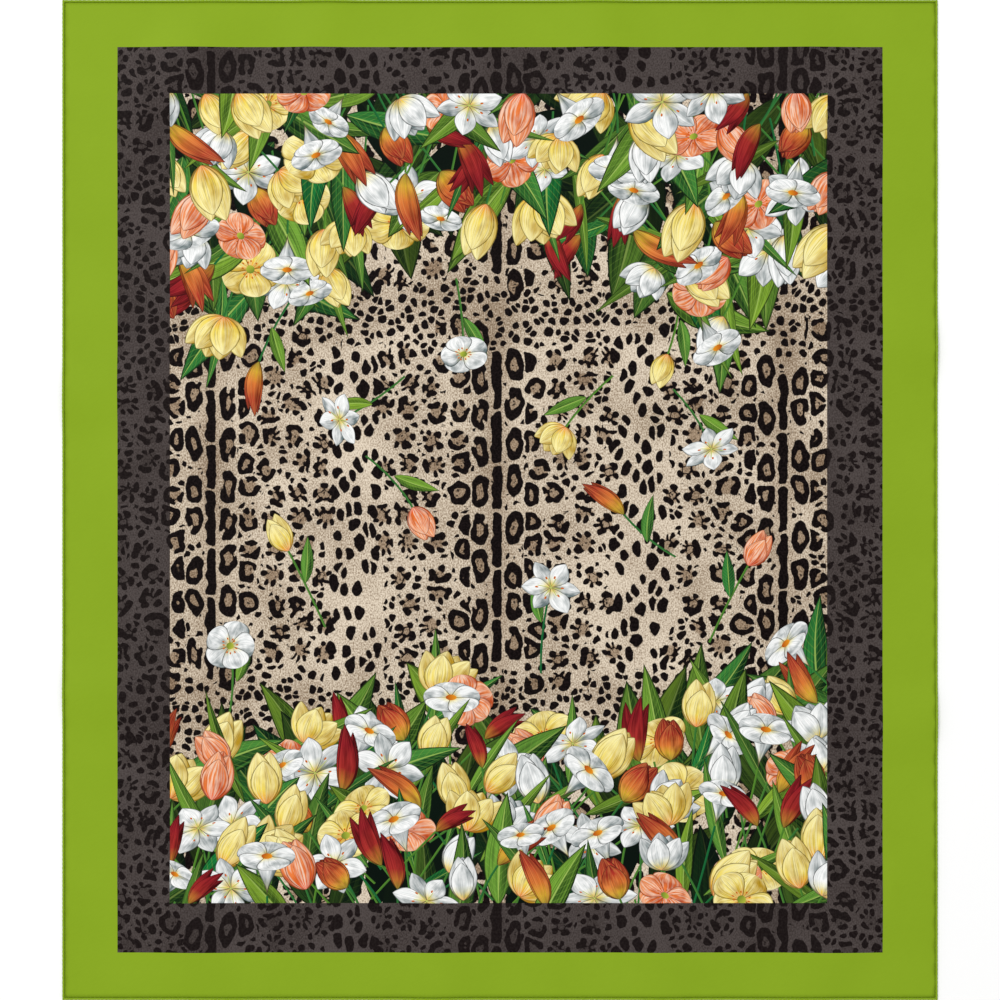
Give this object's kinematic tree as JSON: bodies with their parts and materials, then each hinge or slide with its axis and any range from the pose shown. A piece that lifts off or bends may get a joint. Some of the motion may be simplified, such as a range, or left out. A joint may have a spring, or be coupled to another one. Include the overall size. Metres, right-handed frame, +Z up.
{
  "type": "silk scarf",
  "caption": "Rectangular printed silk scarf laid out flat, with low ripples and a rolled hem on each edge.",
  "frame": {"origin": "on the table, under the centre of the laid-out scarf", "axes": "+X across the scarf to its right edge, +Y along its length to the top edge of the print, +Z up off the table"},
  "size_m": [1.2, 1.371, 0.007],
  "materials": {
    "printed_silk": "satin",
    "hem_silk": "satin"
  },
  "bodies": {
    "root": {"panel": "printed_silk", "hem_left": "hem_silk", "hem_right": "hem_silk", "hem_bottom": "hem_silk", "hem_top": "hem_silk"}
  },
  "joints": []
}
